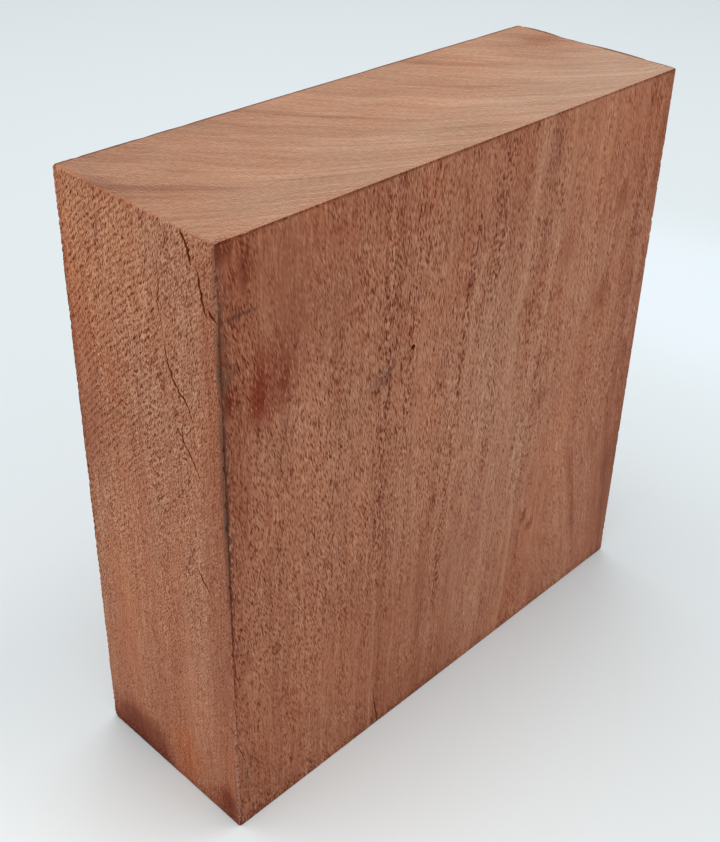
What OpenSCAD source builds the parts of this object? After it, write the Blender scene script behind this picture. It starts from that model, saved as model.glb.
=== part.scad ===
// Wood turning blank: a square block of mahogany, ready for a faceplate or a
// screw chuck. It is one solid piece of wood.
//
// It stands on its end grain, with the fibres along Z. X runs across the board
// and Y through it. The planed face looks to -Y, the sawn edge with the tooth
// marks and drying checks to -X, the wavy edge to +X and the back to +Y.
// The origin is the centre of the bottom end.

/* [Block] */
// Width across the board, over the ridges of its wavy edge
blank_width = 152.4; // [100:0.1:305]
// Thickness of the board
blank_thickness = 50.8; // [45:0.1:102]
// Length along the grain, between the crosscut ends
blank_length = 156.2; // [100:0.1:305]

/* [Wavy edge] */
// How far the two long ridges stand out
ridge_rise = 0.8; // [0.2:0.1:2]
// Width of the ridge beside the back
back_ridge_width = 12; // [6:0.5:14]
// Flat between that ridge and the back
back_ridge_inset = 1.5; // [0.5:0.5:3]
// Width of the ridge beside the planed face
front_ridge_width = 20; // [8:0.5:20]
// Flat between that ridge and the planed face
front_ridge_inset = 8; // [2:0.5:8]

/* [Saw tooth marks] */
// Height from one tooth mark to the next, along the back arris
tooth_pitch = 2.4; // [1.8:0.1:5]
// Depth of a tooth mark where it leaves the back arris
tooth_depth = 0.3; // [0.1:0.05:0.4]
// Width of a tooth mark where it leaves the back arris
tooth_width = 1.2; // [0.9:0.1:1.3]
// How far across the sawn edge the tooth marks run before they fade out
tooth_reach = 22; // [8:0.5:35]
// Angle at which the tooth marks climb towards the planed face
tooth_slope = 40; // [20:1:50]

/* [Worn places] */
// Width worn off the arris between the planed face and the sawn edge
arris_wear = 0.3; // [0.1:0.1:1]
// Length bruised off each arris at the bottom corner of the back
corner_bruise = 1.2; // [0.4:0.1:3]

/* [Drying checks] */
// Opening of the main check, beside the planed face
main_check_opening = 0.7; // [0.3:0.1:1.2]
// How deep the main check goes in
main_check_depth = 3.5; // [1:0.5:8]
// Opening of the fine checks
fine_check_opening = 0.35; // [0.2:0.05:0.8]
// How deep the fine checks go in
fine_check_depth = 1.5; // [0.5:0.5:5]

/* [Borer hole] */
// Diameter of the pinhole in the planed face
borer_diameter = 1.3; // [0.8:0.1:2]
// How deep the pinhole goes in
borer_depth = 9; // [2:0.5:25]
// Distance of the pinhole from the sawn edge
borer_from_edge = 55.3; // [10:0.1:90]
// Distance of the pinhole from the top end
borer_from_top = 43.3; // [10:0.1:90]

/* [Hidden] */

// Routes of the checks. On the sawn edge each point is its distance from the
// planed face and from the top end. A route that runs past 0 opens the arris.
MAIN_CHECKS = [
    [[9.9, 0.3], [8.6, 2.2], [7.7, 3.8], [7.6, 5.3], [7.1, 6.9]],
    [[5.6, 6.4], [5.0, 8.6], [4.8, 10], [4.4, 11.6], [4.3, 13.4], [3.7, 15.2], [2.8, 16.2]],
    [[2.4, 14.3], [1.7, 15.3], [0.8, 15.8], [-0.5, 16.7]]
];
FINE_CHECKS = [
    [[17.8, 8], [17.6, 14], [18.2, 19], [17.5, 23], [17, 27.5], [16.3, 31.5],
     [14.5, 34.3], [12.3, 36.8], [10.8, 39], [9.2, 42.6]],
    [[15.5, 45.4], [13.5, 47.5], [11.3, 50.5], [9.3, 53.5], [7.5, 56.8]],
    [[10.6, 81], [8, 84.2], [5.6, 86.6]],
    [[3.2, 122.4], [1.6, 123.8], [-0.5, 125.6]]
];
// On the planed face each point is its distance from the sawn edge and from the
// bottom end.
FACE_CHECKS = [
    [[46, 13.2], [46.9, 7], [48.2, -0.6]],
    [[-0.4, 29.2], [1.4, 24.8], [3, 20.2]]
];

over = 1;                                     // how far a cutter reaches past a face
left = -blank_width / 2;
right = blank_width / 2;
front = -blank_thickness / 2;
back = blank_thickness / 2;
corner_tilt = acos(1 / sqrt(3));              // from Z to a cube's long diagonal

tooth_radius = arc_radius(tooth_width, tooth_depth);
tooth_run = tooth_reach / cos(tooth_slope);   // length of a tooth mark
tooth_tilt = asin(tooth_depth / tooth_run);   // how a mark leans out of the wood
marks_below = floor(tooth_reach * tan(tooth_slope) / tooth_pitch);

// Radius of the arc that rises by rise over a chord
function arc_radius(chord, rise) = (chord * chord / 4 + rise * rise) / (2 * rise);

// Unit vector across a route at point i
function across(route, i) =
    let (step = route[i + 1] - route[i - 1])
    [-step.y, step.x] / norm(step);

// Points down one side of a route, between its two ends
function route_side(route, offset) =
    [for (i = [1 : len(route) - 2]) route[i] + offset * across(route, i)];

function reversed(points) = [for (i = [len(points) - 1 : -1 : 0]) points[i]];

// Outline of a check: pointed at both ends, and open by its full width between
module check_outline(route, opening) {
    polygon(concat(
        [route[0]],
        route_side(route, opening / 2),
        [route[len(route) - 1]],
        reversed(route_side(route, -opening / 2))
    ));
}

// A check in the sawn edge, cut in along X
module edge_check(route, opening, depth) {
    translate([left - over, front, blank_length])
        rotate([90, 0, 90])
            linear_extrude(over + depth)
                mirror([0, 1])
                    check_outline(route, opening);
}

// A check in the planed face, cut in along Y
module face_check(route, opening, depth) {
    translate([left, front + depth, 0])
        rotate([90, 0, 0])
            linear_extrude(over + depth)
                check_outline(route, opening);
}

// One long ridge on the wavy edge, as seen from above and centred at y
module ridge_outline(y, width) {
    radius = arc_radius(width, ridge_rise);
    intersection() {
        translate([right - radius, y])
            circle(r = radius, $fn = 360);
        translate([0, y - width / 2])
            square([right, width]);
    }
}

// The block before any wear, as seen from above
module block_outline() {
    translate([left, front])
        square([blank_width - ridge_rise, blank_thickness]);
    ridge_outline(back - back_ridge_inset - back_ridge_width / 2, back_ridge_width);
    ridge_outline(front + front_ridge_inset + front_ridge_width / 2, front_ridge_width);
}

// Cuts a shallow groove that climbs from the back arris and fades out
module tooth_mark(z) {
    translate([left - tooth_radius + tooth_depth, back, z])
        rotate([90 - tooth_slope, 0, 0])
            rotate([0, -tooth_tilt, 0])
                translate([0, 0, -2 * over])
                    cylinder(r = tooth_radius, h = tooth_run + 2 * over, $fn = 48);
}

// Cuts a small flat along the arris that is handled most
module worn_arris() {
    side = arris_wear * sqrt(2);
    translate([left, front, blank_length / 2])
        rotate([0, 0, 45])
            cube([side, side, blank_length + 2 * over], center = true);
}

// Cuts a small flat across the bottom corner, square to its diagonal
module bruised_corner() {
    translate([left, back, 0])
        rotate([0, corner_tilt, -45])
            cube([3 * corner_bruise, 3 * corner_bruise, 2 * corner_bruise / sqrt(3)], center = true);
}

module borer_hole() {
    translate([left + borer_from_edge, front + borer_depth, blank_length - borer_from_top])
        rotate([90, 0, 0])
            cylinder(d = borer_diameter, h = borer_depth + over, $fn = 32);
}

module blank() {
    color("#9c6650")
    difference() {
        linear_extrude(blank_length)
            block_outline();
        for (i = [-marks_below : floor(blank_length / tooth_pitch)])
            tooth_mark((i + 0.5) * tooth_pitch);
        worn_arris();
        bruised_corner();
        borer_hole();
        for (route = MAIN_CHECKS)
            edge_check(route, main_check_opening, main_check_depth);
        for (route = FINE_CHECKS)
            edge_check(route, fine_check_opening, fine_check_depth);
        for (route = FACE_CHECKS)
            face_check(route, fine_check_opening, fine_check_depth);
    }
}

blank();
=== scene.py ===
import math
import random

import bmesh
import bpy
from mathutils import Matrix, Vector


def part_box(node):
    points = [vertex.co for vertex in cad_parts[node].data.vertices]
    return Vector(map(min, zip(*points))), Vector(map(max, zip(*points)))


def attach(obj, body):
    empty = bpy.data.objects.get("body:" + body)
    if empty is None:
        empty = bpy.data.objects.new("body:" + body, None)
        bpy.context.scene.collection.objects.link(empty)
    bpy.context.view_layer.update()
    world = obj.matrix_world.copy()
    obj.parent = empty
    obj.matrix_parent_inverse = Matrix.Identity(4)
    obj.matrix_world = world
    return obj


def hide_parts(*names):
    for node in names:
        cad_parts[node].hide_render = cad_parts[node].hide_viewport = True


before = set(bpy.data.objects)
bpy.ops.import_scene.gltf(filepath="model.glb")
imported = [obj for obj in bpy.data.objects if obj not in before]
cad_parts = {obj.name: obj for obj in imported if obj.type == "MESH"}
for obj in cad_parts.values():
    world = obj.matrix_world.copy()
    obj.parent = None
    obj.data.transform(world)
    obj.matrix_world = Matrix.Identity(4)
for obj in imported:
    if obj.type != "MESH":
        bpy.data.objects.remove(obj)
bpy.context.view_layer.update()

mm = 0.001
low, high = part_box("blank")
size = (high - low) / mm  # width, thickness and length of the block in millimetres
left, front = low.x, low.y
top = high.z


def paint(code):  # a hex colour as the linear numbers that nodes take
    parts = [int(code[i:i + 2], 16) / 255 for i in (1, 3, 5)]
    return [p / 12.92 if p <= 0.04045 else ((p + 0.055) / 1.055) ** 2.4 for p in parts] + [1.0]


class Wire:  # a node's output that can stand in a sum
    def __init__(self, sheet, socket):
        self.sheet, self.socket = sheet, socket

    def __add__(self, other):
        return self.sheet.calc("ADD", self, other)

    def __radd__(self, other):
        return self.sheet.calc("ADD", other, self)

    def __sub__(self, other):
        return self.sheet.calc("SUBTRACT", self, other)

    def __rsub__(self, other):
        return self.sheet.calc("SUBTRACT", other, self)

    def __mul__(self, other):
        return self.sheet.calc("MULTIPLY", self, other)

    def __rmul__(self, other):
        return self.sheet.calc("MULTIPLY", other, self)

    def __truediv__(self, other):
        return self.sheet.calc("DIVIDE", self, other)

    def __pow__(self, other):
        return self.sheet.calc("POWER", self, other)


class Sheet:  # a node tree, for a material or for geometry
    def __init__(self, tree):
        self.tree = tree

    def node(self, kind, settings=None, sockets=None, output=0):
        made = self.tree.nodes.new(kind)
        for name, value in (settings or {}).items():
            if name == "stops":
                self.fill(made.color_ramp.elements, value)
            else:
                setattr(made, name, value)
        for name, value in (sockets or {}).items():
            if isinstance(value, Wire):
                self.tree.links.new(value.socket, made.inputs[name])
            else:
                made.inputs[name].default_value = value
        return Wire(self, made.outputs[output]) if made.outputs else made

    def fill(self, stops, values):
        for _ in values[2:]:
            stops.new(0.5)
        for stop, (at, code) in zip(stops, values):
            stop.position, stop.color = at, paint(code)

    def calc(self, operation, *terms):
        isVector = any(isinstance(t, Wire) and t.socket.type in ("VECTOR", "RGBA") for t in terms)
        kind = "ShaderNodeVectorMath" if isVector else "ShaderNodeMath"
        if isVector:
            terms = [(t, t, t) if isinstance(t, (int, float)) else t for t in terms]
        return self.node(kind, {"operation": operation}, dict(enumerate(terms)))

    def split(self, vector):
        parts = self.node("ShaderNodeSeparateXYZ", sockets={0: vector}).socket.node
        return [Wire(self, out) for out in parts.outputs]

    def join(self, x, y, z):
        return self.node("ShaderNodeCombineXYZ", sockets={0: x, 1: y, 2: z})

    def ease(self, value, start, end, full=1.0):  # 0 at start, full at end, and smooth between
        return self.node("ShaderNodeMapRange", {"interpolation_type": "SMOOTHSTEP"},
                         {"Value": value, "From Min": start, "From Max": end, "To Max": full})

    def bell(self, value, middle, reach, full=1.0):  # full at the middle, 0 at reach from it
        return self.ease(self.calc("ABSOLUTE", value - middle), reach, 0.0, full)

    def length(self, vector):
        return self.node("ShaderNodeVectorMath", {"operation": "LENGTH"}, {0: vector}, "Value")

    def noise(self, vector, scale=1.0, detail=2.0, rough=0.5):
        return self.node("ShaderNodeTexNoise", {},
                         {"Vector": vector, "Scale": scale, "Detail": detail, "Roughness": rough})

    def cells(self, vector):  # distance to the nearest of many scattered points
        return self.node("ShaderNodeTexVoronoi", {}, {"Vector": vector, "Scale": 1.0}, "Distance")

    def mix(self, mode, amount, under, over):
        return self.node("ShaderNodeMix", {"data_type": "RGBA", "blend_type": mode},
                         {0: amount, 6: under, 7: over}, 2)


block = dict(  # lengths in millimetres
    rows=(54, 42, 420),            # points along X, Y and Z
    crowding=(0.72, 0.6, 0.3),     # how much the rows gather towards the arrises
    ridgeRise=0.75,                # the long ridges of the wavy edge
    ridges=((43.3, 12.0), (18.0, 20.0)),  # distance from the planed face, and width
    ridgeReach=12.0,               # how far in from the wavy edge the points move
    sawFuzz=0.2,
    toothPitch=1.9,                # saw teeth on the sawn edge
    toothDepth=0.12,
    toothReach=24.0,
    toothSlope=math.radians(43),
    toothDrift=2.5,                # how far the teeth wander, in teeth
    biteReach=3.0,                 # how far in from the sawn edge the points move
    sawnFuzz=0.06,
    arrisWear=0.22,
    nearArrisWear=0.34,
    cornerBruise=1.4,
    sharpFrom=math.radians(32),    # edges steeper than this stay crisp
    seed=3,
)


def sawnBlock(skin):
    tree = bpy.data.node_groups.new("sawnBlock", "GeometryNodeTree")
    sheet = Sheet(tree)
    for name, kind in (("Geometry", "Geometry"), ("Size", "Vector"), ("Tooth pitch", "Float"),
                       ("Tooth depth", "Float"), ("Tooth reach", "Float"), ("Ridge rise", "Float"),
                       ("Arris wear", "Float"), ("Seed", "Int")):
        tree.interface.new_socket(name=name, in_out="INPUT", socket_type="NodeSocket" + kind)
    tree.interface.new_socket(name="Geometry", in_out="OUTPUT", socket_type="NodeSocketGeometry")
    entry = tree.nodes.new("NodeGroupInput")
    given = {out.name: Wire(sheet, out) for out in entry.outputs if out.name}
    extent = given["Size"]

    rows = dict(zip(("Vertices X", "Vertices Y", "Vertices Z"), block["rows"]))
    shape = sheet.node("GeometryNodeMeshCube", {}, {"Size": extent, **rows})

    place = sheet.node("GeometryNodeInputPosition")
    share = place / extent
    gather = sheet.calc("SINE", share * math.tau) * tuple(c / math.tau for c in block["crowding"])
    shape = sheet.node("GeometryNodeSetPosition", {}, {
        "Geometry": shape, "Position": (share + gather) * extent})

    place = sheet.node("GeometryNodeInputPosition")
    x, y, z = sheet.split(place)
    halfX, halfY, _ = sheet.split(extent * 0.5)
    inX, inY, inZ = sheet.split(extent * 0.5 - sheet.calc("ABSOLUTE", place))
    drawn = place + sheet.join(given["Seed"] * 7.3, 0.0, 0.0)
    coarse = sheet.noise(drawn, 0.16, 2.0)
    fine = sheet.noise(drawn + 37.0, 0.9, 2.0)
    isLeft, isBack, isLow = (sheet.calc(op, v, 0.0) for op, v in
                             (("LESS_THAN", x), ("GREATER_THAN", y), ("LESS_THAN", z)))

    # worn arrises: what is nearer to an arris than its wear moves onto a small flat
    wear = given["Arris wear"] * (0.5 + coarse + sheet.ease(fine, 0.55, 0.75) * 1.5)
    nearWear = isLeft * (1 - isBack) * (block["nearArrisWear"] - block["arrisWear"])
    dents = [sheet.calc("MAXIMUM", reach - (a + b), 0.0) * 0.5 for reach, a, b in
             ((wear + nearWear, inX, inY), (wear, inX, inZ), (wear * 0.7, inY, inZ))]
    bruise = sheet.calc("MAXIMUM", block["cornerBruise"] - (inX + inY + inZ), 0.0) / 3
    bruise = bruise * isLeft * isBack * isLow
    inward = sheet.join(dents[0] + dents[1] + bruise,
                        dents[0] + dents[2] + bruise,
                        dents[1] + dents[2] + bruise)
    worn = sheet.calc("SIGN", place) * inward * -1.0

    # wavy edge: two long ridges, with saw fuzz between
    ridge = 0.0
    for middle, width in block["ridges"]:
        across = (y + halfY - middle) / (width / 2)
        ridge = sheet.calc("MAXIMUM", 1 - across * across, ridge)
    fuzz = sheet.noise(drawn * (1, 1, 0.25), 1.1, 3.0) * block["sawFuzz"]
    sunk = given["Ridge rise"] * (1 - ridge) + fuzz
    nearRight = sheet.calc("MAXIMUM", 1 - (halfX - x) / block["ridgeReach"], 0.0)
    wavy = sheet.calc("MULTIPLY", sunk * nearRight, -1.0)

    # tooth marks: grooves that climb from the back arris and fade out
    fromBack = halfY - y
    drift = sheet.noise(drawn * (1, 0.4, 1), 0.12, 1.0) * block["toothDrift"] + fine * 0.3
    turn = (z - fromBack * math.tan(block["toothSlope"])) / given["Tooth pitch"] + drift
    groove = (sheet.calc("COSINE", turn * math.tau) * 0.5 + 0.5) ** 1.4
    fade = sheet.ease(fromBack, given["Tooth reach"], 1.0) * sheet.ease(coarse, 0.3, 0.7) * 1.6
    nearLeft = sheet.calc("MAXIMUM", 1 - (x + halfX) / block["biteReach"], 0.0)
    bitten = (groove * fade * given["Tooth depth"] + fine * block["sawnFuzz"]) * nearLeft

    shape = sheet.node("GeometryNodeSetPosition", {}, {
        "Geometry": shape, "Offset": worn + sheet.join(wavy + bitten, 0.0, 0.0)})
    shape = sheet.node("GeometryNodeTransform", {}, {
        "Geometry": shape, "Translation": (0, 0, size.z / 2 * mm), "Scale": (mm, mm, mm)})
    shape = sheet.node("GeometryNodeSetShadeSmooth", {}, {"Geometry": shape})
    shape = sheet.node("GeometryNodeRealizeInstances", {}, {"Geometry": shape})
    shape = sheet.node("GeometryNodeSetMaterial", {}, {"Geometry": shape, "Material": skin})
    sheet.node("NodeGroupOutput", {}, {"Geometry": shape})
    return tree


def giveInputs(modifier, values):  # each input goes in by its socket's identifier
    for item in modifier.node_group.interface.items_tree:
        if item.in_out == "INPUT" and item.name in values:
            modifier[item.identifier] = values[item.name]


cuts = dict(
    raggedness=0.25,     # millimetres, as are all the lengths here
    step=0.7,
    proud=0.8,           # how far the cutters stand out of the wood
    pinhole=(55.3, 43.3),
    pinholeAcross=1.35,
    pinholeRings=((-1.0, 1.1), (0.4, 1.0), (9.0, 0.8)),  # depth, and share of the width
    pinholeSides=20,
    seed=7,
    # each check: opening, depth and route
    # on the sawn edge the route is distances from the planed face and from the top
    sawnRoutes=(
        (1.05, 3.4, ((9.9, 0.3), (8.6, 2.2), (7.7, 3.8), (7.6, 5.3), (7.1, 6.9))),
        (0.75, 3.2, ((5.6, 6.4), (5.0, 8.6), (4.8, 10), (4.4, 11.6), (4.3, 13.4),
                     (3.7, 15.2), (2.8, 16.2))),
        (0.8, 2.4, ((2.7, 14.0), (2.2, 15.0), (1.3, 15.7), (0.2, 16.3))),
        (0.32, 0.7, ((17.8, 8), (17.6, 14), (18.2, 19), (17.5, 23), (17.2, 26))),
        (0.7, 1.3, ((17, 26.9), (16.3, 31.5), (14.9, 34.6), (13.2, 37), (10.8, 39), (9.2, 42.8))),
        (0.48, 1.1, ((15.5, 45.4), (13.5, 47.5), (11.3, 50.5), (9.3, 53.5), (7.5, 56.8))),
        (0.6, 1.0, ((10.6, 81), (8.3, 84.2), (6.6, 86.2))),
        (0.34, 0.9, ((3.2, 122.4), (1.6, 123.8), (-0.5, 125.6))),
    ),
    # on the planed face it is distances from the sawn edge and from the bottom
    faceRoutes=(
        (0.4, 0.9, ((46, 13.2), (46.9, 7), (48.2, -0.6))),
        (0.22, 0.9, ((-0.4, 29.2), (1.4, 24.8), (3, 20.2))),
    ),
)


def onSawnEdge(across, down, inward):
    return Vector((left + inward * mm, front + across * mm, top - down * mm))


def onPlanedFace(across, up, inward):
    return Vector((left + across * mm, front + inward * mm, up * mm))


def cutCheck(mesh, route, opening, depth, placed, rng):
    # a ragged wedge along the route, pointed at both ends
    points = [Vector(p) for p in route]
    fine = []
    for a, b in zip(points, points[1:]):
        count = max(1, round((b - a).length / cuts["step"]))
        fine += [a.lerp(b, i / count) for i in range(count)]
    fine.append(points[-1])
    rings = []
    for i, p in enumerate(fine):
        along = (fine[min(i + 1, len(fine) - 1)] - fine[max(i - 1, 0)]).normalized()
        side = Vector((-along.y, along.x))
        share = max(math.sin(math.pi * i / (len(fine) - 1)), 0.0) ** 0.5
        half = max(opening / 2 * share * rng.uniform(0.6, 1.25), 0.02)
        deep = max(depth * share, 0.1)
        p = p + side * rng.uniform(-1, 1) * cuts["raggedness"] * share
        proud = cuts["proud"]
        wide = half * (1 + proud / deep)
        rings.append([mesh.verts.new(placed(*q, inward)) for q, inward in
                      ((p + side * wide, -proud), (p - side * wide, -proud), (p, deep))])
    for one, two in zip(rings, rings[1:]):
        for k in range(3):
            mesh.faces.new((one[k], one[k - 2], two[k - 2], two[k]))
    mesh.faces.new(rings[0][::-1])
    mesh.faces.new(rings[-1])


def cutters():
    rng = random.Random(cuts["seed"])
    mesh = bmesh.new()
    for routes, placed in ((cuts["sawnRoutes"], onSawnEdge), (cuts["faceRoutes"], onPlanedFace)):
        for opening, depth, route in routes:
            cutCheck(mesh, route, opening, depth, placed, rng)
    across, down = cuts["pinhole"]
    sides = cuts["pinholeSides"]
    rings = []
    for inward, share in cuts["pinholeRings"]:
        radius = cuts["pinholeAcross"] / 2 * share
        rings.append([mesh.verts.new(onPlanedFace(
            across + radius * math.cos(a), size.z - down + radius * math.sin(a), inward))
            for a in (math.tau * k / sides for k in range(sides))])
    for one, two in zip(rings, rings[1:]):
        for k in range(sides):
            mesh.faces.new((one[k - 1], one[k], two[k], two[k - 1]))
    mesh.faces.new(rings[0][::-1])
    mesh.faces.new(rings[-1])
    bmesh.ops.recalc_face_normals(mesh, faces=mesh.faces)
    data = bpy.data.meshes.new("cutters")
    mesh.to_mesh(data)
    mesh.free()
    return bpy.data.objects.new("cutters", data)


def makeBlank():
    skin = woodMaterial()
    rough = bpy.data.objects.new("roughBlock", bpy.data.meshes.new("roughBlock"))
    cutter = cutters()
    inside = bpy.data.materials.new("cut")
    cutter.data.materials.append(inside)
    for item in (rough, cutter):
        bpy.context.scene.collection.objects.link(item)
    sawn = rough.modifiers.new("sawn", "NODES")
    sawn.node_group = sawnBlock(skin)
    giveInputs(sawn, {
        "Size": list(size),
        "Tooth pitch": block["toothPitch"],
        "Tooth depth": block["toothDepth"],
        "Tooth reach": block["toothReach"],
        "Ridge rise": block["ridgeRise"],
        "Arris wear": block["arrisWear"],
        "Seed": block["seed"],
    })
    opened = rough.modifiers.new("opened", "BOOLEAN")
    opened.operation, opened.solver, opened.object = "DIFFERENCE", "MANIFOLD", cutter
    opened.material_mode = "TRANSFER"
    shaped = bpy.data.meshes.new_from_object(rough.evaluated_get(bpy.context.evaluated_depsgraph_get()))
    for item in (rough, cutter):
        bpy.data.objects.remove(item)
    shaped.set_sharp_from_angle(angle=block["sharpFrom"])

    # the faces of the checks and the pinhole carry a value that the wood reads
    wasCut = [m == inside for m in shaped.materials]
    isOpen = shaped.attributes.new("isOpen", "FLOAT", "FACE")
    for face in shaped.polygons:
        isOpen.data[face.index].value = float(wasCut[face.material_index])
        face.material_index = 0
    print("checks and pinhole:", sum(a.value > 0 for a in isOpen.data), "faces")
    shaped.materials.clear()
    shaped.materials.append(skin)
    bpy.data.materials.remove(inside)
    piece = bpy.data.objects.new("woodBlank", shaped)
    bpy.context.scene.collection.objects.link(piece)
    return piece


wood = dict(  # lengths in millimetres
    longGrain=((0.0, "#541f0b"), (0.25, "#7f3f25"), (0.5, "#ac6a4d"), (0.75, "#c68b6b"), (1.0, "#ddb291")),
    endGrain=((0.0, "#6e4433"), (0.5, "#a3785e"), (1.0, "#cba68b")),
    # inside the checks: reddish wood at the mouth, painted shade deeper in
    insideShallow="#8e4524",
    insideDeepShade="#5c200e",
    redStain="#cc9078",
    smudge="#6b4c44",
    darkLine="#4f2c1c",
    dirt="#48362d",
    rubbed="#c0a898",
    plain=0.515,         # tone of the plain wood along the grain
    endPlain=0.492,      # and across it
    contrast=0.72,       # how strongly the open cells show
    roughness=0.66,
    specular=0.15,
    bumpDepth=0.0002,    # metres
    bumpStrength=0.6,
    rings=0.15,          # growth rings for each millimetre
    sway=3.5,            # slow wander of the fibres
    lean=0.10,           # sideways drift of the fibres for each millimetre down
    turn=0.15,           # the fibres turn back low on the right
    cellSpread=3.2,      # open cells for each millimetre across the fibres
    cellLength=0.8,      # and along them
    hatchPitch=1.95,     # saw lines on the sawn edge
    # rows of open pores: place across the fibres, reach, from and to (down from the top), strength
    poreRows=(
        (77.5, 2.8, 16, 128, 1.0),
        (47.5, 3.4, 0, 104, 0.8),
        (56.5, 2.6, 4, 76, 0.8),
        (59.5, 2.0, 92, 120, 0.5),
        (86, 6.0, 0, 40, 0.8),
        (109, 3.0, 8, 30, 0.6),
        (124.5, 2.2, 0, 32, 0.5),
        (110, 2.2, 60, 110, 0.6),
    ),
    # long soft bands down the planed face: place across the fibres, reach, lighter or darker
    bands=(
        (0, 24, -0.10), (24, 8, 0.01), (47.5, 1.2, 0.08), (50.5, 2.5, -0.05), (65, 6, 0.02),
        (83, 3, -0.03), (98.5, 5, 0.08), (104.5, 2.5, -0.04), (109.5, 1.5, 0.08), (113, 3, -0.02),
        (125, 45, 0.05), (128, 3, -0.04), (136, 4, 0.03), (143, 2.0, -0.07), (150.5, 4, -0.08),
    ),
    # soft dark streaks on the top: ring, reach, from and to (back from the planed face), strength
    streaks=(
        (48, 3.2, 14, 36, 0.16), (54, 2.6, 0, 12, 0.14), (59.7, 1.8, 26, 35, 0.14),
        (75.6, 2.4, 0, 11, 0.12), (106, 1.8, 25, 51, 0.16), (126.7, 2.6, 35, 51, 0.14),
        (140, 1.8, 21, 38, 0.14), (161, 3.0, 34, 51, 0.12), (164, 2.4, 26, 36, 0.08),
        (68, 1.6, 0, 22, 0.06), (95, 1.4, 2, 24, 0.06), (118, 1.6, 4, 30, 0.05),
    ),
)

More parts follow.
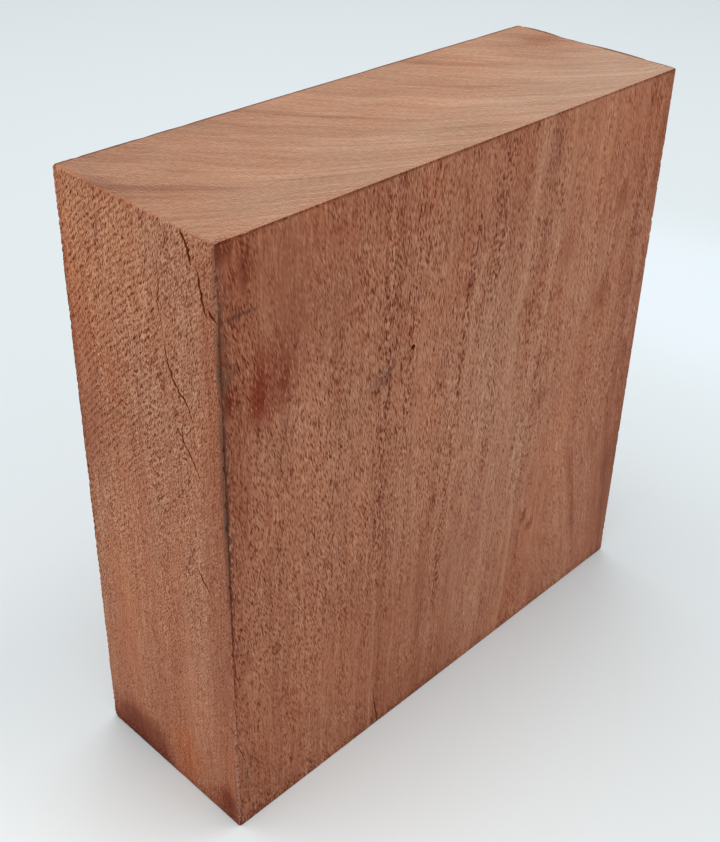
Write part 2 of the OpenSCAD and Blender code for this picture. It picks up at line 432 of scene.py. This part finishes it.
# each mark: face, place, reach, lean in degrees, and strength
# the place is across and down, or on the top across and back from the planed face
marks = dict(
    shade=(
        ("planed", (7, 7.5), (2.8, 5.5), 0, 0.4),
        ("planed", (2.5, 2), (3.6, 3.2), 0, 0.8),
        ("planed", (10, 36.5), (2.6, 7), 4, 0.15),
        ("planed", (16.6, 36), (1.6, 5), 0, 0.4),
        ("planed", (2.0, 34.5), (1.6, 5), 0, 0.5),
        ("planed", (73.5, 34), (3.0, 4.0), 0, 0.9),
        ("planed", (134.4, 30), (4.5, 7), 0, 0.7),
        ("planed", (131, 57), (6, 9), 10, 0.5),
        ("planed", (124.4, 61.5), (2.4, 2.0), 0, 1.0),
        ("planed", (112.4, 37), (5, 7), 0, 0.4),
        ("planed", (107, 67.5), (1.4, 1.3), 0, 1.2),
        ("planed", (108, 79), (8, 5), 30, 0.5),
        ("planed", (95, 50), (2.2, 13), 18, 0.4),
        ("planed", (105.6, 118.5), (2.4, 2.8), 0, 1.4),
        ("planed", (109, 123), (2.4, 2.6), 0, 1.5),
        ("planed", (103.5, 124), (1.0, 2.4), 0, 0.7),
        ("planed", (137, 106), (4, 9), -14, 0.6),
        ("planed", (147, 121), (4, 11), -10, 0.3),
        ("planed", (147, 80), (2.5, 7), 0, 0.5),
        ("planed", (127, 114), (1.8, 20), -12, 0.6),
        ("planed", (131.5, 132), (1.6, 14), -10, 0.5),
        ("planed", (19, 20), (10, 26), 0, 0.4),
        ("planed", (150, 132), (16, 50), 0, 0.65),
        ("planed", (30, 3), (34, 9), 0, 0.15),
        ("planed", (29, 22), (14, 26), 0, 0.3),
        ("planed", (148, 88), (8, 16), 0, 0.3),
        # darker along the foot of the planed face: painted shade
        ("planed", (62, 152), (36, 16), 0, 0.25),
        ("planed", (4.5, 104), (2.0, 4), 0, 0.5),
        ("planed", (13.7, 123.5), (1.0, 1.5), 0, 0.6),
        ("planed", (24.2, 125.7), (1.0, 1.5), 0, 0.6),
        ("planed", (13, 106), (1.0, 1.5), 0, 0.5),
        ("sawn", (38.8, 157), (18.5, 17.5), 0, 2.0),
        ("sawn", (4.0, 153), (11, 8), 0, 0.6),
        ("sawn", (2.5, 148), (5, 9), 0, 0.35),
        ("sawn", (3, 80), (7, 90), 0, 0.45),
        ("sawn", (44, 62), (9, 16), 0, 0.25),
        ("sawn", (48, 50), (8, 40), 0, 0.3),
        ("sawn", (18, 38), (0.5, 4.5), 6, 0.8),
        ("sawn", (5, 15), (9, 24), 0, 0.2),
        ("end", (142, 38), (22, 18), 0, 0.7),
        ("end", (145, 38), (11, 8), 0, 0.2),
        ("end", (1.5, 34), (4, 14), 0, 0.5),
        ("end", (151, 5), (14, 16), 0, 0.3),
        ("end", (132, 26), (12, 26), 0, 0.4),
        ("end", (76, 4), (20, 12), 0, 0.35),
    ),
    pale=(
        ("planed", (64, 64), (56, 58), 0, 0.5),
        ("planed", (148, 48), (8, 14), 0, 0.3),
        ("planed", (96, 100), (7, 60), 8, 0.25),
        ("planed", (120, 8), (24, 22), 0, 0.4),
        ("planed", (4, 118), (9, 46), 0, 0.4),
        ("planed", (101, 96), (13, 46), 4, 0.3),
        ("planed", (108, 26), (9, 24), 0, 0.35),
        ("sawn", (35, 100), (12, 56), 0, 0.4),
        ("sawn", (14, 126), (9, 34), 0, 0.6),
        ("sawn", (36, 10), (20, 36), 0, 0.5),
    ),
    warm=(
        ("sawn", (47, 8), (36, 70), 0, 0.8),
        ("sawn", (38, 108), (16, 50), 0, 0.5),
        ("sawn", (19, 146), (8, 14), 0, 1.2),
        ("planed", (140, 8), (44, 34), 0, 0.6),
        ("planed", (85, 92), (30, 90), 4, -0.55),
        ("planed", (150, 150), (34, 60), 0, -0.4),
        ("planed", (40, 5), (60, 16), 0, 0.3),
        ("end", (152, 4), (80, 36), 0, -0.9),
        ("end", (60, 6), (80, 22), 0, -0.4),
    ),
    red=(
        ("planed", (9.8, 36.5), (3.4, 9), 4, 0.65),
        ("planed", (2.2, 34.5), (2.2, 5.5), 0, 0.9),
        ("planed", (16.6, 36), (2.6, 9), 0, 0.5),
        ("planed", (12, 34), (10, 15), 6, 0.5),
        ("planed", (6.8, 8), (3.0, 6.0), 0, 0.5),
        ("planed", (1.5, 1.5), (3.0, 3.0), 0, 0.6),
        ("sawn", (40.5, 153), (10, 8), 0, 0.5),
        ("sawn", (4.5, 151), (4.6, 8), 0, 0.7),
        ("planed", (150, 20), (3.5, 26), 0, 0.3),
        ("end", (144, 38), (11, 6), 0, 0.25),
    ),
    smudge=(
        ("planed", (45.5, 47.5), (5.5, 5), 20, 0.7),
        ("planed", (55.3, 44.5), (2.4, 2.0), 0, 0.4),
        ("planed", (102, 10), (4.0, 14), 0, 0.4),
        ("planed", (3, 141), (3.5, 7), 0, 0.5),
        ("sawn", (4, 114), (5, 22), 0, 0.2),
    ),
    line=(
        ("planed", (4.8, 16.5), (6.0, 0.75), 0, 1.0),
        ("planed", (3.4, 133), (0.5, 5), -18, 0.7),
        ("planed", (46.4, 88), (0.45, 11), 0, 0.6),
        ("planed", (48.7, 95), (0.45, 14), -1, 0.6),
        ("planed", (17.1, 45.5), (0.5, 5), 8, 0.6),
        ("planed", (15.6, 52), (0.5, 5), 12, 0.6),
        ("sawn", (37.6, 52.7), (3.4, 1.1), 0, 0.6),
        ("sawn", (32.8, 52.1), (3.2, 0.8), 0, 0.5),
        ("sawn", (47.8, 52.6), (2.4, 0.8), 0, 0.4),
    ),
    dirt=(
        ("planed", (0.6, 24), (2.8, 14), 0, 0.8),
        ("planed", (2.2, 28), (2.6, 4), 0, 0.5),
        ("planed", (0.2, 58), (1.8, 46), 0, 0.9),
        ("planed", (0.5, 8), (1.6, 12), 0, 0.7),
    ),
)


def amount(sheet, spot, kind):  # how much of one kind of mark lies here
    total = 0.0
    height = sheet.split(spot)[2]
    for face, (across, along), (wide, tall), lean, strength in marks[kind]:
        middle, reach, side = {
            "planed": ((across, 0, size.z - along), (wide, 2, tall), (1, 0, 0)),
            "sawn": ((0, across, size.z - along), (2, wide, tall), (0, -1, 0)),
            "end": ((across, along, size.z), (wide, tall, 2), (0, 0, 0)),
        }[face]
        local, middle = spot, Vector(middle)
        if lean:
            slope = Vector(side) * math.tan(math.radians(lean))
            local = local - sheet.join(*(height * part if part else 0.0 for part in slope))
            middle = middle - slope * middle.z
        shrink = tuple(1 / r for r in reach)
        shift = tuple(-m / r for m, r in zip(middle, reach))
        away = sheet.length(sheet.calc("MULTIPLY_ADD", local, shrink, shift))
        total = total + sheet.ease(away, 1.0, 0.25, strength)
    return total


def woodMaterial():
    material = bpy.data.materials.new("mahogany")
    material.use_nodes = True
    material.node_tree.nodes.clear()
    sheet = Sheet(material.node_tree)
    place = sheet.node("ShaderNodeTexCoord", output="Object")
    spot = (place - (left, front, 0.0)) * (1 / mm)
    u, w, h = sheet.split(spot)
    down = size.z - h
    nx, ny, nz = sheet.split(sheet.node("ShaderNodeNewGeometry", output="Normal"))
    onEnd = sheet.ease(sheet.calc("ABSOLUTE", nz), 0.6, 0.8)
    onSawn = sheet.ease(nx, -0.6, -0.8)
    onPlaned = sheet.ease(ny, -0.6, -0.8)

    # the fibres lean in the middle and turn away low on the right
    swayU, swayW = ((sheet.noise(spot * (0.06, 0.06, 0.035) + start, 1.0, 1.0) - 0.5) * wood["sway"]
                    for start in (0.0, 41.0))
    lean = down * sheet.bell(u, 88, 60) * wood["lean"]
    turn = sheet.calc("MAXIMUM", down - 98, 0.0) * sheet.bell(u, 131, 50) * wood["turn"]
    across = u + lean - turn
    r = across + swayU
    d = w + swayW
    ring = r + d * 0.65 + (1 - sheet.calc("EXPONENT", d * (-1 / 14))) * 26.6

    # open cells: short dashes that cross the fibres a little one way or the other
    # the half keeps the top end off the noise's own lattice, where it would fade
    dashR = (u + lean + swayU) - down * onPlaned * 0.2
    dashD = d - down * onSawn * 0.36
    spread = wood["cellSpread"]
    cells = sheet.join(dashR * spread, dashD * spread, h * (wood["cellLength"] + onSawn * 0.5) + 0.5)
    dash = sheet.noise(cells, 1.0, 0.0) - sheet.noise(cells + (0.8, 0.8, 0.0), 1.0, 0.0)
    slit = sheet.ease(dash, -0.05, -0.4)
    vessel = sheet.cells(cells * 0.8 + 31.0)
    rising = sheet.join((u + lean + swayU + down * 0.2) * 1.6, d * 1.6, h * 0.24) + 17.0
    rising = sheet.cells(rising)
    upward = sheet.bell(across, 60, 8) * sheet.ease(down, 90, 65) * onPlaned
    vessel = vessel + (rising - vessel) * upward
    dots = sheet.noise(sheet.join(r * 1.3, d * 1.3, h * 0.85) + 9.0, 1.0, 0.0) - 0.5

    # tone: half is the plain wood, less is darker
    rings = sheet.noise(sheet.join(ring, d * 0.05, h * 0.02), wood["rings"], 3.0, 0.6) - 0.5
    fineRings = sheet.noise(sheet.join(ring, d * 0.15, h * 0.02), 0.7, 1.0) - 0.5
    broad = sheet.noise(spot * (0.03, 0.03, 0.012) + 11.0, 1.0, 1.0) - 0.5
    streak = sheet.noise(sheet.join(r, d, h * 0.04) * 0.8, 1.0, 2.0) - 0.5
    fibre = sheet.noise(sheet.join(r, d, h * 0.08) * 1.8, 1.0, 1.0) - 0.5
    busy = sheet.ease(sheet.noise(sheet.join(r, d, h * 0.08) * 0.2 + 5.0, 1.0, 1.0), 0.36, 0.6)

    band = 0.0
    swayed = across + swayU * 0.5
    for at, reach, change in wood["bands"]:
        band = band + sheet.bell(swayed, at, reach, change)
    row = 0.0
    for at, reach, start, end, strength in wood["poreRows"]:
        here = sheet.bell(swayed, at, reach, strength)
        along = down + streak * 12
        here = here * sheet.ease(along, start - 4, start + 4) * sheet.ease(along, end + 6, end - 6)
        row = sheet.calc("MAXIMUM", row, here)
    row = row * onPlaned
    # saw lines on the sawn edge: light and dark stripes, painted light and shade of the saw ridges, with
    # painted shade in the tooth notches by the back arris
    turns = (w * 0.93 - down) * (1 / wood["hatchPitch"]) + broad * 5 + rings
    hatch = sheet.calc("SINE", turns * math.tau) * onSawn
    notchShade = (hatch + 1) * sheet.ease(w, size.y - 3.2, size.y - 0.4)
    notchShade = notchShade * sheet.ease(down + streak * 16, 120, 90) * onSawn
    hatch = hatch * sheet.ease(w, 6, 28) * sheet.ease(down, 96, 44)

    # long scratches that lean with the fibres left of the middle
    leaning = u + down * 0.14
    scratch = sheet.noise(sheet.join(leaning * 2.1, d, h * 0.06) + 3.0, 1.0, 1.0)
    scratch = sheet.ease(scratch, 0.47, 0.3) * sheet.bell(leaning, 57, 10)
    scratch = scratch * sheet.ease(down, 100, 60) * onPlaned

    pores = sheet.ease(dots, 0.0, -0.12) * row
    vessel = sheet.ease(vessel, 0.3 + busy * 0.1, 0.1 + busy * 0.1)
    # calm is where the planed face is smoother, quiet is the stained foot of the sawn edge
    calm = sheet.ease(u, 40, 120) * 0.22 + sheet.ease(down, 36, 8) * sheet.ease(u, 64, 8) * 0.3
    calm = calm + sheet.ease(u, 30, 14) * sheet.ease(down, 90, 60, 0.1)
    calm = calm + sheet.ease(u, 92, 112) * sheet.ease(down, 45, 20, 0.14)
    calm = calm + sheet.ease(down + streak * 20, 75, 130) * (0.32 + sheet.ease(u, 20, 70) * 0.06)
    contrast = wood["contrast"] + busy * 0.24 + row * 0.1 - calm * onPlaned
    quiet = sheet.ease(down, 84, 124) * onSawn
    contrast = contrast + onSawn * (0.17 + sheet.ease(down, 90, 20) * 0.3) - quiet * 0.45 - hatch * 0.35
    drawn = (fibre + dash) * (2.0 - onSawn * 1.5)
    drawn = spot + sheet.join(drawn, drawn, drawn * 2)
    shade = sheet.calc("MINIMUM", amount(sheet, drawn, "shade"), 1.15)
    contrast = contrast * (1 - shade * 0.6)
    tone = wood["plain"] + rings * 0.25 + broad * 0.15 + streak * 0.27 + fibre * 0.3 + band * onPlaned
    grain = 0.04 + dash * 0.6 - slit * (0.14 - onSawn * 0.06) - vessel * 0.17
    tone = tone + grain * contrast - pores * 0.34
    tone = tone - scratch * 0.2
    tone = tone + onSawn * (0.115 - down * 0.0005) + hatch * 0.1 - notchShade * 0.13

    pale = amount(sheet, drawn, "pale")
    # darker lines beside the arrises; the one at the foot and the one along the right arris of the planed
    # face are painted shade
    nearTop = sheet.ease(down, 1.0, 0.2) * onPlaned
    # painted shade at the foot, where the block meets the floor
    footShade = sheet.ease(h + dash * 4, 3.5, 0.5) * (onPlaned + onSawn)
    tone = tone * (1 - shade * 0.38) + pale * 0.16 - nearTop * (0.22 + dash) - footShade * 0.12
    # painted shade along the right arris of the planed face
    tone = tone - sheet.ease(size.x - u, 1.3, 0.3) * onPlaned * 0.35
    tone = tone - sheet.ease(size.y - w, 0.9, 0.2) * onSawn * 0.2
    tone = tone - sheet.ease(u, 0.9, 0.2) * sheet.bell(down, 68, 90) * onPlaned * 0.34

    long = sheet.node("ShaderNodeValToRGB", {"stops": wood["longGrain"]}, {"Fac": tone})
    endTone = wood["endPlain"] + rings * 0.34 + fineRings * 0.35 + broad * 0.22
    endTone = endTone + dash * 0.42 + streak * 0.3
    endTone = endTone + (u - 76) * 0.001 - (w - 25) * 0.0015 - shade * 0.2
    # painted shade: a dark line along the back and right arrises of the top
    shadedRim = sheet.calc("MINIMUM", size.x - 0.8 - u, size.y - w)
    endTone = endTone - sheet.ease(shadedRim, 1.2, 0.4, 0.55)
    for at, reach, start, end, strength in wood["streaks"]:
        along = w + streak * 6
        here = sheet.bell(ring, at, reach, strength) * sheet.ease(along, start - 4, start + 5)
        here = here * sheet.ease(along, end + 4, end - 5)
        endTone = endTone - here
    end = sheet.node("ShaderNodeValToRGB", {"stops": wood["endGrain"]}, {"Fac": endTone})
    colour = sheet.mix("MIX", onEnd, long, end)

    # warmer and cooler parts
    hue = sheet.noise(sheet.join(r, d, h * 0.3) * 0.07 + 23.0, 1.0, 3.0, 0.65) - 0.5
    warm = amount(sheet, spot, "warm") + hue * 2.2 + onSawn * 0.4
    cast = sheet.node("ShaderNodeCombineColor", {}, {
        0: 1 + warm * 0.05, 1: 1 - warm * 0.09, 2: 1 - warm * 0.2})
    colour = sheet.mix("MULTIPLY", 1.0, colour, cast)

    red = amount(sheet, drawn, "red")
    colour = sheet.mix("MULTIPLY", red, colour, paint(wood["redStain"]))
    smudge = amount(sheet, drawn, "smudge") * 0.5
    colour = sheet.mix("MIX", smudge, colour, paint(wood["smudge"]))
    line = amount(sheet, spot + sheet.join(streak, streak, streak), "line")
    colour = sheet.mix("MIX", line * 0.6, colour, paint(wood["darkLine"]))
    dirt = amount(sheet, drawn, "dirt") * sheet.ease(dash + streak, -0.35, 0.12)
    colour = sheet.mix("MIX", dirt * 0.8, colour, paint(wood["dirt"]))

    # the near arris is rubbed pale
    rubbed = sheet.ease(down, 90, 145) + sheet.bell(down, 11, 7) * 0.8
    rub = sheet.ease(u + w, 0.7, 0.35) * sheet.ease(dash + streak, -0.25, 0.05) * rubbed
    colour = sheet.mix("MIX", rub * 0.5, colour, paint(wood["rubbed"]))

    # inside the checks and the pinhole: reddish fresh wood near the mouth, darkened deeper in by painted
    # shade
    isOpen = sheet.node("ShaderNodeAttribute", {"attribute_name": "isOpen"}, output="Fac")
    depth = sheet.ease(sheet.calc("MINIMUM", u, w), 0.2, 1.6)
    inside = sheet.mix("MIX", depth, paint(wood["insideShallow"]), paint(wood["insideDeepShade"]))
    colour = sheet.mix("MIX", isOpen, colour, inside)

    height = dash * (1 - quiet * 0.7) + fibre * 0.3
    bump = sheet.node("ShaderNodeBump", {}, {
        "Height": height, "Distance": wood["bumpDepth"], "Strength": wood["bumpStrength"]}, "Normal")
    shader = sheet.node("ShaderNodeBsdfPrincipled", {}, {
        "Base Color": colour, "Roughness": wood["roughness"] - dash * 0.2, "Normal": bump,
        "Specular IOR Level": wood["specular"]})
    sheet.node("ShaderNodeOutputMaterial", {}, {"Surface": shader})
    return material


studio = dict(  # lengths in metres, and for the camera's own parts in millimetres
    stand=(-0.20216, -0.1825, 0.25192),
    azimuth=math.radians(46.79),
    elevation=math.radians(31.6),
    roll=math.radians(1.67),
    lens=53.03,
    sensor=36,
    shift=(-0.0111, -0.0511),
    clip=(0.01, 20),
    floorSize=6,
    floor="#cfd7da",
    floorRoughness=0.9,
    skyStrength=0.6,
    lampPlace=(0.1, 0.1, 1.3),
    lampSize=1.2,
    lampWatts=14,
    # pools of painted light on the paper, seen by the camera only: middle, reach and colour
    paintedLight=(
        ((-0.3, -0.055), (0.43, 0.145), "#fafefe"),
        ((0.25, 0.04), (0.10, 0.16), "#d6e0e6"),
    ),
)


def makeCamera():
    data = bpy.data.cameras.new("camera")
    data.lens, data.sensor_width = studio["lens"], studio["sensor"]
    data.shift_x, data.shift_y = studio["shift"]
    data.clip_start, data.clip_end = studio["clip"]
    camera = bpy.data.objects.new("camera", data)
    bpy.context.scene.collection.objects.link(camera)
    a, e = studio["azimuth"], studio["elevation"]
    forward = Vector((math.sin(a) * math.cos(e), math.cos(a) * math.cos(e), -math.sin(e)))
    turned = forward.to_track_quat("-Z", "Y").to_matrix()
    camera.location = studio["stand"]
    camera.rotation_euler = (turned @ Matrix.Rotation(studio["roll"], 3, "Z")).to_euler()
    bpy.context.scene.camera = camera


def makeFloor():
    bpy.ops.mesh.primitive_plane_add(size=studio["floorSize"])
    floor = bpy.context.object
    floor.name = "floor"
    material = bpy.data.materials.new("paper")
    material.use_nodes = True
    sheet = Sheet(material.node_tree)
    place = sheet.node("ShaderNodeTexCoord", output="Object")
    seen = sheet.node("ShaderNodeLightPath", output="Is Camera Ray")
    colour = paint(studio["floor"])
    # painted light: the pools lighten the paper's colour for camera rays
    for (x, y), (wide, tall), code in studio["paintedLight"]:
        local = (place - (x, y, 0)) * (1 / wide, 1 / tall, 1)
        away = sheet.length(local)
        colour = sheet.mix("MIX", sheet.ease(away, 1.0, 0.25) * seen, colour, paint(code))
    shader = material.node_tree.nodes["Principled BSDF"]
    material.node_tree.links.new(colour.socket, shader.inputs["Base Color"])
    shader.inputs["Roughness"].default_value = studio["floorRoughness"]
    floor.data.materials.append(material)


def makeLights():
    scene = bpy.context.scene
    scene.view_settings.view_transform = "Standard"
    world = bpy.data.worlds.new("world")
    scene.world = world
    world.use_nodes = True
    background = world.node_tree.nodes["Background"]
    background.inputs["Color"].default_value = (1, 1, 1, 1)
    background.inputs["Strength"].default_value = studio["skyStrength"]
    lamp = bpy.data.lights.new("softbox", "AREA")
    lamp.shape = "RECTANGLE"
    lamp.size = lamp.size_y = studio["lampSize"]
    lamp.energy = studio["lampWatts"]
    softbox = bpy.data.objects.new("softbox", lamp)
    softbox.location = studio["lampPlace"]
    scene.collection.objects.link(softbox)


print("making the blank")
blank = makeBlank()
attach(blank, "root")
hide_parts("blank")
print("blank:", len(blank.data.polygons), "faces")
print("setting up the camera")
makeCamera()
print("laying the paper")
makeFloor()
print("hanging the lights")
makeLights()
